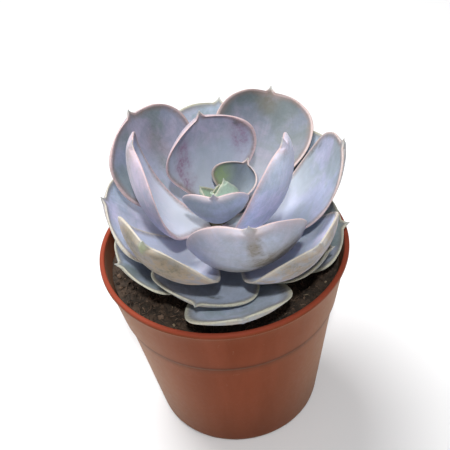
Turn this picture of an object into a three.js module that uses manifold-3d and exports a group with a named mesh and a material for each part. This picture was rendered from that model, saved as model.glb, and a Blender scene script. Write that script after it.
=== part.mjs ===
// Potted ghost echeveria in a 10.5 cm nursery pot.
// Millimetres, +Z up. The origin is the centre of the pot's underside,
// and -Y is the side of the plant that is seen first.

import * as THREE from 'three';
import { mergeVertices } from 'three/addons/utils/BufferGeometryUtils.js';
import Module from 'manifold-3d';

const wasm = await Module();
wasm.setup();

const DEG = Math.PI / 180;
const GOLDEN_ANGLE = 137.5;

// Pot: a thin moulded cup with a rolled lip and a stepped collar
const POT_HEIGHT = 90;
const LIP_RADIUS = 52.5;
const LIP_HEIGHT = 2.4;
const LIP_WIDTH = 2.2;
const COLLAR_TOP_RADIUS = 51.3;
const COLLAR_FOOT_RADIUS = 47.5;
const COLLAR_FOOT_Z = 64;
const STEP_DEPTH = 1.3;
const BODY_FOOT_RADIUS = 37.2;
const BOTTOM_ROUNDING = 2.5;
const POT_WALL = 1.2;
const FLOOR_THICKNESS = 1.6;
const FOOT_RING_WIDTH = 4;
const FLOOR_LIFT = 1.5;
const CENTRE_PAD_RADIUS = 9;
const DRAIN_COUNT = 6;
const DRAIN_RADIUS = 4;
const DRAIN_CIRCLE_RADIUS = 22;
const DRAIN_SIDES = 20;
const POT_SIDES = 60;

// Soil: fills the pot to a little below the lip
const SOIL_TOP_Z = 82.5;
const SOIL_ROUGHNESS = 0.8;
const SOIL_CROWN = 1.6;
const SOIL_GAP = 0.35;
const SOIL_RINGS = 7;
const SOIL_SIDES = 40;

// Stem: a short stout caudex, sunk in a plain hole in the soil
const STEM_FOOT_Z = 58;
const STEM_HOLE_GAP = 0.35;
const STEM_RADIUS = 6.5;
const STEM_SHOULDER_Z = 86;
const STEM_NECK_RADIUS = 5;
const STEM_NECK_Z = 105;
const STEM_TOP_Z = 107.5;
const STEM_TOP_RADIUS = 4.4;
const STEM_SIDES = 24;

// Leaves: the youngest of the large ones is number 0, at the top of the stem
const FIRST_LEAF_AZIMUTH = 20;
const FIRST_LEAF_Z = 107.5;
const LEAF_PITCH = 0.92;
const LEAF_SEAT_GAP = 0.3;
const BEND_REACH = 1.5;
const MIDRIB_STEPS = 40;
const FOOT_ROWS = 5;
const TIP_ROWS = 5;
const WIDEST_AT = 0.66;
const FOOT_SHARE = 0.2;
const FOOT_SWELL = 1.35;
const FOOT_FLATNESS = 0.55;
const TIP_BLUNTNESS = 2.4;
const TIP_TAPER = 0.5;
const MUCRO_LENGTH = 2.2;
const MUCRO_HALF_WIDTH = 1.3;
const MUCRO_POINT = 0.4;
const MUCRO_ROOT_AT = 0.9;
const MARGIN_THICKNESS = 1.2;
const MARGIN_ROUNDING = 0.45;
const FOOT_THICKNESS = 2;
const BELLY_THICKNESS = 4;
const BELLY_AT = 0.35;
const TIP_THICKNESS = 1.8;
const MUCRO_THICKNESS = 0.8;
const GROWN_LENGTH = 58;
const THICKNESS_GROWTH = 0.6;

// Each leaf keeps the spiral's place and departs from it a little, as a grown leaf does.
// turn: degrees that it leans off the spiral's azimuth
// rise: slope of the midrib where it leaves the stem, curl: how far it bends up from there
// length, width: along the midrib and across the blade, laid flat
// cup: how far each margin turns up, roll: twist of the blade, sway: sideways bend
const LEAVES = [
  { name: 'leaf_00', turn: 8, rise: 64, curl: -8, length: 21, width: 25, cup: 78, roll: 33, sway: 10 },
  { name: 'leaf_01', turn: 22, rise: 44, curl: 28, length: 31.5, width: 26.5, cup: 42, roll: -3, sway: 3 },
  { name: 'leaf_02', turn: -2, rise: 58, curl: 39, length: 42.5, width: 42.5, cup: 43, roll: 12, sway: 4 },
  { name: 'leaf_03', turn: -15, rise: 21, curl: 77, length: 63, width: 38.5, cup: 26, roll: 15, sway: 11 },
  { name: 'leaf_04', turn: 4, rise: 14, curl: 95, length: 60, width: 49, cup: 17, roll: -25, sway: 19 },
  { name: 'leaf_05', turn: -2, rise: 18, curl: 18, length: 61, width: 43, cup: 33, roll: 25, sway: 24 },
  { name: 'leaf_06', turn: 12, rise: -4, curl: 86, length: 75, width: 46, cup: 42, roll: 2, sway: -23 },
  { name: 'leaf_07', turn: 2, rise: 19, curl: 66, length: 58, width: 46.5, cup: 12, roll: -13, sway: 14 },
  { name: 'leaf_08', turn: -12, rise: 4, curl: 77, length: 65, width: 40, cup: 9, roll: 9, sway: 3 },
  { name: 'leaf_09', turn: 7, rise: -5, curl: 83, length: 70, width: 44, cup: 29, roll: -39, sway: 33 },
  { name: 'leaf_10', turn: 6, rise: 15, curl: 28, length: 57.5, width: 47, cup: 16, roll: 10, sway: -16 },
  { name: 'leaf_11', turn: 7, rise: -11, curl: 81, length: 69, width: 42.5, cup: 30, roll: 24, sway: -31 },
  { name: 'leaf_12', turn: 10, rise: -7, curl: 80, length: 51, width: 45.5, cup: 9, roll: -11, sway: 10 },
  { name: 'leaf_13', turn: -5, rise: 9, curl: 37, length: 57, width: 43, cup: 16, roll: -8, sway: -5 },
  { name: 'leaf_14', turn: -1, rise: -4, curl: 27, length: 43.5, width: 41.5, cup: 13, roll: -12, sway: 1 },
  { name: 'leaf_15', turn: -9, rise: 15, curl: 25, length: 52.5, width: 44, cup: 20, roll: 3, sway: 0 },
  { name: 'leaf_16', turn: -16, rise: -12, curl: 51, length: 45.5, width: 39, cup: 29, roll: 12, sway: 12 },
  { name: 'leaf_17', turn: 3, rise: -12, curl: 56, length: 44.5, width: 39, cup: 11, roll: -8, sway: 3 },
  { name: 'leaf_18', turn: 3, rise: -3, curl: 32, length: 55, width: 43, cup: 11, roll: 0, sway: 0 },
  { name: 'leaf_19', turn: -12, rise: -16, curl: 62, length: 56, width: 41, cup: 8, roll: 7, sway: -5 },
  { name: 'leaf_20', turn: -8, rise: -9, curl: 31, length: 50.5, width: 41.5, cup: 22, roll: 0, sway: 0 },
  { name: 'leaf_21', turn: -16, rise: -5, curl: 30, length: 47, width: 44.5, cup: 13, roll: 11, sway: -3 },
];

// Heart: the youngest leaves, grown together round the growing point, on the same spiral
const HEART_GAP = 0.3;
const HEART_FOOT_RADIUS = 4;
const HEART_TOP_Z = 114;
const HEART_LEAF_SINK = 1.1;
const HEART_SIDES = 16;
const HEART_STEPS = 5;
const HEART_ROWS = 3;
const HEART_OUTLINE = { widestAt: 0.35, bluntness: 1.3, taper: 0.85 };
const HEART_LEAVES = [
  { turn: 8, rise: 64, curl: 10, length: 12, width: 12, cup: 55, roll: 0, sway: 0 },
  { turn: 4, rise: 62, curl: 36, length: 18, width: 16, cup: 24, roll: -6, sway: 20 },
  { turn: 0, rise: 76, curl: 10, length: 8, width: 8, cup: 60, roll: 0, sway: 0 },
  { turn: 0, rise: 80, curl: 8, length: 7.5, width: 7, cup: 55, roll: 0, sway: 0 },
  { turn: 0, rise: 84, curl: 4, length: 6.5, width: 5, cup: 50, roll: 0, sway: 0 },
];

const POT_COLOUR = 0x8f4c38;
const SOIL_COLOUR = 0x2c211c;
const STEM_COLOUR = 0x7d7a5c;
const LEAF_COLOUR = 0x9fa6bf;
const OLD_LEAF_COLOUR = 0xa3a39f;
const HEART_COLOUR = 0x8fae93;

const LEAF_ROUGHNESS = 0.7;

const clamp01 = (x) => Math.min(1, Math.max(0, x));
const mix = (a, b, t) => a + (b - a) * t;

// Straight-line reading of a rule given as [at, value] stops
function ramp(stops, x) {
  if (x <= stops[0][0]) return stops[0][1];
  for (let i = 1; i < stops.length; i += 1) {
    const [x1, y1] = stops[i];
    const [x0, y0] = stops[i - 1];
    if (x <= x1) return mix(y0, y1, (x - x0) / (x1 - x0));
  }
  return stops[stops.length - 1][1];
}

// Radius of the stem at a height, for whatever sits beside it
function stemRadius(z) {
  return ramp([
    [STEM_SHOULDER_Z, STEM_RADIUS],
    [STEM_NECK_Z, STEM_NECK_RADIUS],
    [STEM_TOP_Z, STEM_TOP_RADIUS],
  ], z);
}

// Leaf outline: a spoon, narrow at the foot and blunt at the tip, with a small sharp mucro
function halfWidth(leaf, s) {
  const { widestAt = WIDEST_AT, bluntness = TIP_BLUNTNESS, taper = TIP_TAPER } = leaf;
  const body = 1 - MUCRO_LENGTH / leaf.length;
  const t = clamp01(s / body);
  const opening = Math.sin(90 * DEG * Math.min(1, t / widestAt)) ** FOOT_SWELL;
  const swell = mix(FOOT_SHARE, 1, opening);
  const fall = clamp01((t - widestAt) / (1 - widestAt));
  const share = t < widestAt ? swell : Math.max(0, 1 - fall ** bluntness) ** taper;
  const blade = (leaf.width / 2) * share;
  const mucro = s > MUCRO_ROOT_AT ? MUCRO_HALF_WIDTH * clamp01((1 - s) / (1 - body)) + MUCRO_POINT : 0;
  return Math.hypot(blade, mucro);
}

// Thickness along the midrib: fleshy in the belly, thinner at the foot and the tip
function bellyThickness(leaf, s) {
  const size = (leaf.length / GROWN_LENGTH) ** THICKNESS_GROWTH;
  const body = 1 - MUCRO_LENGTH / leaf.length;
  const rule = [
    [0, FOOT_THICKNESS],
    [0.12, mix(FOOT_THICKNESS, BELLY_THICKNESS, 0.35)],
    [BELLY_AT, BELLY_THICKNESS],
    [WIDEST_AT, BELLY_THICKNESS * 0.92],
    [0.86, mix(TIP_THICKNESS, BELLY_THICKNESS, 0.45)],
    [body, TIP_THICKNESS],
    [1, MUCRO_THICKNESS],
  ];
  return Math.max(MUCRO_THICKNESS, ramp(rule, s) * size);
}

// Centre line of the leaf, by small steps along the midrib
function midrib(leaf, s) {
  const point = new THREE.Vector3(leaf.seat, 0, leaf.z);
  const step = s / MIDRIB_STEPS;
  for (let i = 0; i < MIDRIB_STEPS; i += 1) {
    const { along } = leafFrame(leaf, (i + 0.5) * step);
    point.addScaledVector(along, leaf.length * step);
  }
  return point;
}

// Directions along, across and out of the upper face at a share s of the length
function leafFrame(leaf, s) {
  const t = Math.min(1, s / BEND_REACH);
  const slope = (leaf.rise + leaf.curl * t * (2 - t)) * DEG;
  const heading = leaf.sway * s * DEG;
  const along = new THREE.Vector3(
    Math.cos(slope) * Math.cos(heading),
    Math.cos(slope) * Math.sin(heading),
    Math.sin(slope),
  );
  const level = new THREE.Vector3(-Math.sin(heading), Math.cos(heading), 0);
  const upward = new THREE.Vector3().crossVectors(along, level);
  const twist = leaf.roll * s * DEG;
  const across = level.clone().multiplyScalar(Math.cos(twist)).addScaledVector(upward, Math.sin(twist));
  const normal = upward.clone().multiplyScalar(Math.cos(twist)).addScaledVector(level, -Math.sin(twist));
  return { along, across, normal };
}

// One cross-section of the leaf as a closed ring: upper face, margin, lower face, margin
const UPPER_STATIONS = [-1, -0.74, -0.4, 0, 0.4, 0.74, 1];
const LOWER_STATIONS = [1, 0.6, 0, -0.6, -1];

function leafRing(leaf, s) {
  const { across, normal } = leafFrame(leaf, s);
  const centre = midrib(leaf, s);
  const half = halfWidth(leaf, s);
  const cup = leaf.cup * DEG * ramp([[0, FOOT_FLATNESS], [0.25, 1]], s);
  const belly = bellyThickness(leaf, s);
  const edge = Math.min(MARGIN_THICKNESS, belly);

  const upper = (u) => {
    const turn = cup * u;
    const point = centre.clone();
    point.addScaledVector(across, (half / cup) * Math.sin(turn));
    point.addScaledVector(normal, (half / cup) * (1 - Math.cos(turn)));
    return point;
  };
  const outOf = (u) => {
    const turn = cup * u;
    return normal.clone().multiplyScalar(Math.cos(turn)).addScaledVector(across, -Math.sin(turn));
  };
  const lower = (u) => {
    const thickness = edge + (belly - edge) * (1 - u * u);
    return upper(u).addScaledVector(outOf(u), -thickness);
  };
  const margin = (u) => {
    const sideways = across.clone().multiplyScalar(Math.cos(cup * u));
    sideways.addScaledVector(normal, Math.sin(cup * u));
    const point = upper(u).addScaledVector(outOf(u), -edge / 2);
    return point.addScaledVector(sideways, Math.sign(u) * Math.min(MARGIN_ROUNDING, half / 3));
  };
  return [...UPPER_STATIONS.map(upper), margin(1), ...LOWER_STATIONS.map(lower), margin(-1)];
}

// Distance from the axis at which the whole foot of the leaf stands clear of the stem
function seatBesideStem(leaf) {
  const foot = leafRing({ ...leaf, seat: 0 }, 0);
  return Math.max(...foot.map((p) => stemRadius(p.z) + LEAF_SEAT_GAP - p.x));
}

// Where the cross-sections lie: even steps to the widest place, then round the tip
function leafStations(leaf, footRows, tipRows) {
  const body = 1 - MUCRO_LENGTH / leaf.length;
  const stations = [];
  for (let i = 0; i <= footRows; i += 1) stations.push((WIDEST_AT * body * i) / footRows);
  for (let i = 1; i <= tipRows; i += 1) {
    const turn = (i / (tipRows + 0.45)) * 90 * DEG;
    stations.push(body * mix(WIDEST_AT, 1, Math.sin(turn)));
  }
  stations.push(body + 0.25 * (1 - body), body + 0.65 * (1 - body), 1);
  return stations;
}

// Skin over a row of closed rings of equal length, with both ends closed by a fan
function skinRings(rings) {
  const count = rings[0].length;
  const positions = [];
  const indices = [];
  for (const ring of rings) for (const p of ring) positions.push(p.x, p.y, p.z);
  for (let r = 0; r < rings.length - 1; r += 1) {
    for (let i = 0; i < count; i += 1) {
      const j = (i + 1) % count;
      const a = r * count + i;
      const b = r * count + j;
      indices.push(a, a + count, b, b, a + count, b + count);
    }
  }
  const closeEnd = (ring, first, flip) => {
    const centre = ring.reduce((sum, p) => sum.add(p), new THREE.Vector3()).divideScalar(count);
    const hub = positions.length / 3;
    positions.push(centre.x, centre.y, centre.z);
    for (let i = 0; i < count; i += 1) {
      const j = (i + 1) % count;
      if (flip) indices.push(first + i, first + j, hub);
      else indices.push(first + j, first + i, hub);
    }
  };
  closeEnd(rings[0], 0, true);
  closeEnd(rings[rings.length - 1], (rings.length - 1) * count, false);
  const geometry = new THREE.BufferGeometry();
  geometry.setAttribute('position', new THREE.Float32BufferAttribute(positions, 3));
  geometry.setIndex(indices);
  return geometry;
}

function leafGeometry(leaf, footRows, tipRows) {
  const rings = leafStations(leaf, footRows, tipRows).map((s) => leafRing(leaf, s));
  const geometry = skinRings(rings);
  geometry.rotateZ(leaf.azimuth * DEG);
  return geometry;
}

// Solids for cutting and joining
function toSolid(geometry) {
  const bare = geometry.clone();
  bare.deleteAttribute('normal');
  bare.deleteAttribute('uv');
  const merged = mergeVertices(bare, 1e-4);
  const vertProperties = Float32Array.from(merged.attributes.position.array);
  const triVerts = Uint32Array.from(merged.index.array);
  return new wasm.Manifold(new wasm.Mesh({ numProp: 3, vertProperties, triVerts }));
}

function toGeometry(solid) {
  const mesh = solid.getMesh();
  const geometry = new THREE.BufferGeometry();
  geometry.setAttribute('position', new THREE.Float32BufferAttribute(mesh.vertProperties, 3));
  geometry.setIndex(Array.from(mesh.triVerts));
  return geometry;
}

// A profile of [radius, height] turned about the upright axis
function turned(profile, sides) {
  const geometry = new THREE.LatheGeometry(profile.map(([r, z]) => new THREE.Vector2(r, z)), sides);
  geometry.rotateX(Math.PI / 2);
  return geometry;
}

const part = new THREE.Group();
part.name = 'potted_ghost_echeveria';

function addPiece(name, geometry, colour, roughness) {
  const material = new THREE.MeshStandardMaterial({ color: colour, roughness, metalness: 0 });
  const mesh = new THREE.Mesh(geometry, material);
  mesh.name = name;
  part.add(mesh);
  return mesh;
}

// Radius of the pot's outer wall at a height, below the step and above it
function potOuterRadius(z) {
  if (z < COLLAR_FOOT_Z) {
    return mix(BODY_FOOT_RADIUS, COLLAR_FOOT_RADIUS - STEP_DEPTH, z / COLLAR_FOOT_Z);
  }
  const collarTop = POT_HEIGHT - LIP_HEIGHT;
  return mix(COLLAR_FOOT_RADIUS, COLLAR_TOP_RADIUS, (z - COLLAR_FOOT_Z) / (collarTop - COLLAR_FOOT_Z));
}

function makePot() {
  const collarTop = POT_HEIGHT - LIP_HEIGHT;
  const bodyTopRadius = COLLAR_FOOT_RADIUS - STEP_DEPTH;
  const lipMiddle = LIP_RADIUS - LIP_WIDTH / 2;
  const floorTop = FLOOR_LIFT + FLOOR_THICKNESS;
  const outside = [
    [BODY_FOOT_RADIUS - BOTTOM_ROUNDING, 0],
    [BODY_FOOT_RADIUS - BOTTOM_ROUNDING * 0.4, BOTTOM_ROUNDING * 0.15],
    [potOuterRadius(BOTTOM_ROUNDING) - 0.3, BOTTOM_ROUNDING * 0.6],
    [potOuterRadius(BOTTOM_ROUNDING * 1.6), BOTTOM_ROUNDING * 1.6],
    [bodyTopRadius, COLLAR_FOOT_Z - 1.2],
    [COLLAR_FOOT_RADIUS - 0.3, COLLAR_FOOT_Z - 0.2],
    [COLLAR_FOOT_RADIUS, COLLAR_FOOT_Z + 0.6],
    [COLLAR_TOP_RADIUS, collarTop - 0.3],
    [LIP_RADIUS - 0.35, collarTop],
    [LIP_RADIUS, collarTop + 0.5],
    [LIP_RADIUS, POT_HEIGHT - 0.7],
    [LIP_RADIUS - 0.4, POT_HEIGHT - 0.15],
    [lipMiddle, POT_HEIGHT],
    [LIP_RADIUS - LIP_WIDTH + 0.3, POT_HEIGHT - 0.2],
    [LIP_RADIUS - LIP_WIDTH, POT_HEIGHT - 0.8],
  ];
  const inside = [
    [COLLAR_TOP_RADIUS - POT_WALL - 0.3, collarTop - 0.6],
    [COLLAR_FOOT_RADIUS - POT_WALL, COLLAR_FOOT_Z + 0.8],
    [bodyTopRadius - POT_WALL, COLLAR_FOOT_Z - 0.8],
    [BODY_FOOT_RADIUS - POT_WALL + 0.6, floorTop + 2.2],
    [BODY_FOOT_RADIUS - POT_WALL - 1.6, floorTop],
    [0, floorTop],
  ];
  const under = [
    [0, 0],
    [CENTRE_PAD_RADIUS, 0],
    [CENTRE_PAD_RADIUS + 1, FLOOR_LIFT],
    [BODY_FOOT_RADIUS - BOTTOM_ROUNDING - FOOT_RING_WIDTH, FLOOR_LIFT],
    [BODY_FOOT_RADIUS - BOTTOM_ROUNDING - FOOT_RING_WIDTH + 0.8, 0],
  ];
  let solid = toSolid(turned([...under, ...outside, ...inside], POT_SIDES));
  for (let i = 0; i < DRAIN_COUNT; i += 1) {
    const drill = new THREE.CylinderGeometry(DRAIN_RADIUS, DRAIN_RADIUS, 3 * floorTop, DRAIN_SIDES);
    drill.rotateX(Math.PI / 2);
    const azimuth = ((i + 0.5) / DRAIN_COUNT) * 360 * DEG;
    drill.translate(
      DRAIN_CIRCLE_RADIUS * Math.cos(azimuth),
      DRAIN_CIRCLE_RADIUS * Math.sin(azimuth),
      floorTop / 2,
    );
    solid = solid.subtract(toSolid(drill));
  }
  addPiece('pot', toGeometry(solid), POT_COLOUR, 0.6);
}

// Height of the soil: a low crown at the stem, with clods and hollows
function soilHeight(x, y) {
  const r = Math.hypot(x, y);
  const crown = SOIL_CROWN * Math.exp(-((r / 22) ** 2));
  const clods = Math.sin(x * 0.31 + 1.3) * Math.cos(y * 0.27 - 0.6)
    + 0.6 * Math.sin(x * 0.73 - y * 0.58 + 0.4)
    + 0.4 * Math.cos(x * 0.21 + y * 0.94);
  return SOIL_TOP_Z + crown + SOIL_ROUGHNESS * clods;
}

function makeSoil() {
  const floorTop = FLOOR_LIFT + FLOOR_THICKNESS;
  const holeRadius = STEM_RADIUS + STEM_HOLE_GAP;
  const wall = (z) => potOuterRadius(z) - POT_WALL - SOIL_GAP;
  const topRadius = wall(SOIL_TOP_Z - 2) - 0.35;
  const ringAt = (radius, z) => {
    const ring = [];
    for (let i = 0; i < SOIL_SIDES; i += 1) {
      const azimuth = (-i / SOIL_SIDES) * 2 * Math.PI;
      const x = radius * Math.cos(azimuth);
      const y = radius * Math.sin(azimuth);
      ring.push(new THREE.Vector3(x, y, z === null ? soilHeight(x, y) : z));
    }
    return ring;
  };
  const rings = [
    ringAt(4, floorTop + SOIL_GAP),
    ringAt(BODY_FOOT_RADIUS - POT_WALL - 2.4, floorTop + SOIL_GAP),
    ringAt(wall(floorTop + 3) - 0.6, floorTop + 3),
    ringAt(wall(COLLAR_FOOT_Z - 1), COLLAR_FOOT_Z - 1),
    ringAt(wall(COLLAR_FOOT_Z + 2.5) - 0.2, COLLAR_FOOT_Z + 2.5),
    ringAt(topRadius, null),
  ];
  for (let i = 1; i <= SOIL_RINGS; i += 1) {
    rings.push(ringAt(mix(topRadius, 4, i / SOIL_RINGS), null));
  }
  const holeDepth = POT_HEIGHT - STEM_FOOT_Z;
  const stemHole = new THREE.CylinderGeometry(holeRadius, holeRadius, holeDepth, STEM_SIDES);
  stemHole.rotateX(Math.PI / 2);
  stemHole.translate(0, 0, STEM_FOOT_Z - STEM_HOLE_GAP + holeDepth / 2);
  const solid = toSolid(skinRings(rings)).subtract(toSolid(stemHole));
  addPiece('soil', toGeometry(solid), SOIL_COLOUR, 1);
}

function makeStem() {
  const profile = [
    [0, STEM_FOOT_Z],
    [STEM_RADIUS - 1.5, STEM_FOOT_Z],
    [STEM_RADIUS, STEM_FOOT_Z + 1.5],
    [STEM_RADIUS, STEM_SHOULDER_Z],
    [STEM_NECK_RADIUS, STEM_NECK_Z],
    [STEM_TOP_RADIUS, STEM_TOP_Z],
    [0, STEM_TOP_Z],
  ];
  addPiece('stem', turned(profile, STEM_SIDES), STEM_COLOUR, 0.8);
}

// A leaf at its number on the spiral: 0 and up for the grown ones, below 0 for the heart
function onSpiral(entry, number) {
  return {
    ...entry,
    azimuth: FIRST_LEAF_AZIMUTH - GOLDEN_ANGLE * number + entry.turn,
    z: FIRST_LEAF_Z - LEAF_PITCH * number,
  };
}

function makeLeaves() {
  LEAVES.forEach((entry, number) => {
    const leaf = onSpiral(entry, number);
    leaf.seat = seatBesideStem(leaf);
    const age = number / LEAVES.length;
    const colour = new THREE.Color(LEAF_COLOUR).lerp(new THREE.Color(OLD_LEAF_COLOUR), age);
    addPiece(leaf.name, leafGeometry(leaf, FOOT_ROWS, TIP_ROWS), colour, LEAF_ROUGHNESS);
  });
}

function makeHeart() {
  const foot = STEM_TOP_Z + HEART_GAP;
  const coreRadius = (z) => HEART_FOOT_RADIUS * Math.sqrt(clamp01((HEART_TOP_Z - z) / (HEART_TOP_Z - foot)));
  const profile = [[0, foot]];
  for (let i = 0; i < HEART_STEPS; i += 1) {
    const z = mix(foot, HEART_TOP_Z, i / HEART_STEPS);
    profile.push([coreRadius(z), z]);
  }
  profile.push([0, HEART_TOP_Z]);
  let solid = toSolid(turned(profile, HEART_SIDES));
  HEART_LEAVES.forEach((entry, index) => {
    const leaf = onSpiral({ ...entry, ...HEART_OUTLINE }, -1 - index);
    leaf.seat = coreRadius(leaf.z) - HEART_LEAF_SINK;
    solid = solid.add(toSolid(leafGeometry(leaf, HEART_ROWS, HEART_ROWS)));
  });
  addPiece('heart', toGeometry(solid), HEART_COLOUR, LEAF_ROUGHNESS);
}

makePot();
makeSoil();
makeStem();
makeLeaves();
makeHeart();

export default part;
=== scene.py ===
# Potted ghost echeveria: the looks of the plant, its soil and its pot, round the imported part.
# Lengths are in millimetres until a mesh is made, and Blender gets metres.

import math
import random

import bmesh
import bpy
import numpy as np
from mathutils import Matrix, Vector, noise


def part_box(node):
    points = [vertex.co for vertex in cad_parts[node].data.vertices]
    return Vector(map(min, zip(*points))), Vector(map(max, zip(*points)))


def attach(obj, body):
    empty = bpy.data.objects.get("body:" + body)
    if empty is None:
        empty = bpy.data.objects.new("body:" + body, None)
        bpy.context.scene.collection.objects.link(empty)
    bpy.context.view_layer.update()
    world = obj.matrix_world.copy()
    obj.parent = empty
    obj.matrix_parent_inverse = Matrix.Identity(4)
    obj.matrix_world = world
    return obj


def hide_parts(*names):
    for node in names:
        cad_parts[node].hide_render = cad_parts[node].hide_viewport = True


bl_info = {
    "name": "Potted ghost echeveria",
    "version": (1, 0, 0),
    "blender": (4, 5, 0),
    "location": "View3D > Sidebar > Echeveria",
    "description": "Makes a waxy echeveria in a nursery pot, leaf by leaf",
    "category": "Object",
}

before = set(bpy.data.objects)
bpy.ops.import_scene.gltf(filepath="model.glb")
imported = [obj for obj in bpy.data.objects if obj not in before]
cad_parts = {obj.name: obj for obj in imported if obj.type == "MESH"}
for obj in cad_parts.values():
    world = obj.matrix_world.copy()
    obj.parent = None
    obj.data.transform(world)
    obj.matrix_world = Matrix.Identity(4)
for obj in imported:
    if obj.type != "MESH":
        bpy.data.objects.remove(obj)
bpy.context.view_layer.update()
BODY = "root"
MM = 0.001
GOLDEN_ANGLE = 137.5

# Pot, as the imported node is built
POT_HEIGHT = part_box("pot")[1].z / MM
LIP_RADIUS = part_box("pot")[1].x / MM
LIP_HEIGHT = 2.4
LIP_WIDTH = 2.2
COLLAR_TOP_RADIUS = 51.3
COLLAR_FOOT_RADIUS = 47.5
COLLAR_FOOT_Z = 64
STEP_DEPTH = 1.3
BODY_FOOT_RADIUS = 37.2
BOTTOM_ROUNDING = 2.5
POT_WALL = 1.2
FLOOR_THICKNESS = 1.6
FOOT_RING_WIDTH = 4
FLOOR_LIFT = 1.5
CENTRE_PAD_RADIUS = 9
DRAIN_COUNT = 6
DRAIN_RADIUS = 4
DRAIN_CIRCLE_RADIUS = 22
DRAIN_SIDES = 40
DRILL_FROM = -2
DRILL_TO = 6
SHADE_BELOW_COLLAR = 1.7
SHADE_FROM_FOOT = 45
SHARP_EDGE = 40

# Soil and stem
SOIL_TOP_Z = 82.5
SOIL_ROUGHNESS = 0.8
SOIL_CROWN = 1.6
SOIL_GAP = 0.35
SOIL_TOP_INSET = 0.35
SOIL_SIDES = 300
SOIL_RINGS = 110
BARK_BITS = 130
GRIT_BITS = 60
STRAW_BITS = 26
STEM_FOOT_Z = 58
STEM_HOLE_GAP = 0.35
STEM_RADIUS = 6.5
STEM_SHOULDER_Z = 86
STEM_NECK_RADIUS = 5
STEM_NECK_Z = 105
STEM_TOP_Z = 107.5
STEM_TOP_RADIUS = 4.4
STEM_SIDES = 72
STEM_ROWS = 90
STEM_SCARS = 26
SCAR_DEPTH = 0.35
SCAR_HEIGHT = 0.35
SCAR_SAG = 0.6

# Leaves: the youngest of the large ones is number 0, at the top of the stem
FIRST_LEAF_AZIMUTH = 20
FIRST_LEAF_Z = 107.5
LEAF_PITCH = 0.92
LEAF_SEAT_GAP = 0.3
BEND_REACH = 1.5
WIDEST_AT = 0.66
FOOT_SHARE = 0.2
FOOT_SWELL = 1.35
FOOT_FLATNESS = 0.55
TIP_BLUNTNESS = 2.4
TIP_TAPER = 0.5
FOOT_THICKNESS = 2
BELLY_THICKNESS = 4
BELLY_AT = 0.35
TIP_THICKNESS = 1.8

# Margin and point, drawn finer than in the solids
MUCRO_LENGTH = 3.2
MUCRO_LENGTH_SHARE = 0.12
MUCRO_FLARE_SHARE = 0.045
MUCRO_HOLLOW = 2
MUCRO_POINT = 0.1
MUCRO_THICKNESS = 0.35
MARGIN_THICKNESS = 0.85
MARGIN_BULGE = 0.4
POINT_THICKNESS = 0.12
GROWN_LENGTH = 58
THICKNESS_GROWTH = 0.6

# One row a leaf, leaf_00 first: turn off the spiral, slope at the stem, bend, length, width, cup of
# the margins, twist and sideways sway, in degrees and millimetres
LEAF_TRAITS = ("turn", "rise", "curl", "length", "width", "cup", "roll", "sway")
LEAVES = (
    (8, 64, -8, 21, 25, 78, 33, 10),
    (22, 44, 28, 31.5, 26.5, 42, -3, 3),
    (-2, 58, 39, 42.5, 42.5, 43, 12, 4),
    (-15, 21, 77, 63, 38.5, 26, 15, 11),
    (4, 14, 95, 60, 49, 17, -25, 19),
    (-2, 18, 18, 61, 43, 33, 25, 24),
    (12, -4, 86, 75, 46, 42, 2, -23),
    (2, 19, 66, 58, 46.5, 12, -13, 14),
    (-12, 4, 77, 65, 40, 9, 9, 3),
    (7, -5, 83, 70, 44, 29, -39, 33),
    (6, 15, 28, 57.5, 47, 16, 10, -16),
    (7, -11, 81, 69, 42.5, 30, 24, -31),
    (10, -7, 80, 51, 45.5, 9, -11, 10),
    (-5, 9, 37, 57, 43, 16, -8, -5),
    (-1, -4, 27, 43.5, 41.5, 13, -12, 1),
    (-9, 15, 25, 52.5, 44, 20, 3, 0),
    (-16, -12, 51, 45.5, 39, 29, 12, 12),
    (3, -12, 56, 44.5, 39, 11, -8, 3),
    (3, -3, 32, 55, 43, 11, 0, 0),
    (-12, -16, 62, 56, 41, 8, 7, -5),
    (-8, -9, 31, 50.5, 41.5, 22, 0, 0),
    (-16, -5, 30, 47, 44.5, 13, 11, -3),
)

# Heart: the youngest leaves, round the growing point
HEART_GAP = 0.3
HEART_FOOT_RADIUS = 4
HEART_TOP_Z = 114
HEART_LEAF_SINK = 1.1
HEART_SIDES = 40
HEART_ROWS = 16
HEART_OUTLINE = {"widest": 0.35, "bluntness": 1.3, "taper": 0.85}
HEART_LEAVES = (
    (8, 64, 10, 12, 12, 55, 0, 0),
    (4, 62, 36, 18, 16, 24, -6, 20),
    (0, 76, 10, 8, 8, 60, 0, 0),
    (0, 80, 8, 7.5, 7, 55, 0, 0),
    (0, 84, 4, 6.5, 5, 50, 0, 0),
)

# Relief of the living leaf over the smooth blade, and the seeds of what differs from leaf to leaf
WAVE_LENGTH = 17
WAVE_SHARE = 0.6
LEAF_SEED = 3
HEART_SEED = 40
BLOOM_SEED = 21
RIM_HEIGHT = 0.06
RIM_PLACE = 1.0
RIM_SPREAD = 0.6
KEEL_HEIGHT = 0.3
KEEL_SPREAD = 0.08

# How finely the leaf skin is drawn
UPPER_COLUMNS = 33
LOWER_COLUMNS = 21
MARGIN_COLUMNS = 5
FOOT_ROWS = 34
TIP_ROWS = 24
MUCRO_ROWS = 7
POINT_ROUNDING = 0.1
POINT_STATIONS = (0.35, 0.65, 0.88)
TIP_HUB_DEPTH = 0.4
OUTLINE_POINTS = 500
OUTLINE_SAMPLES = 1500

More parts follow.
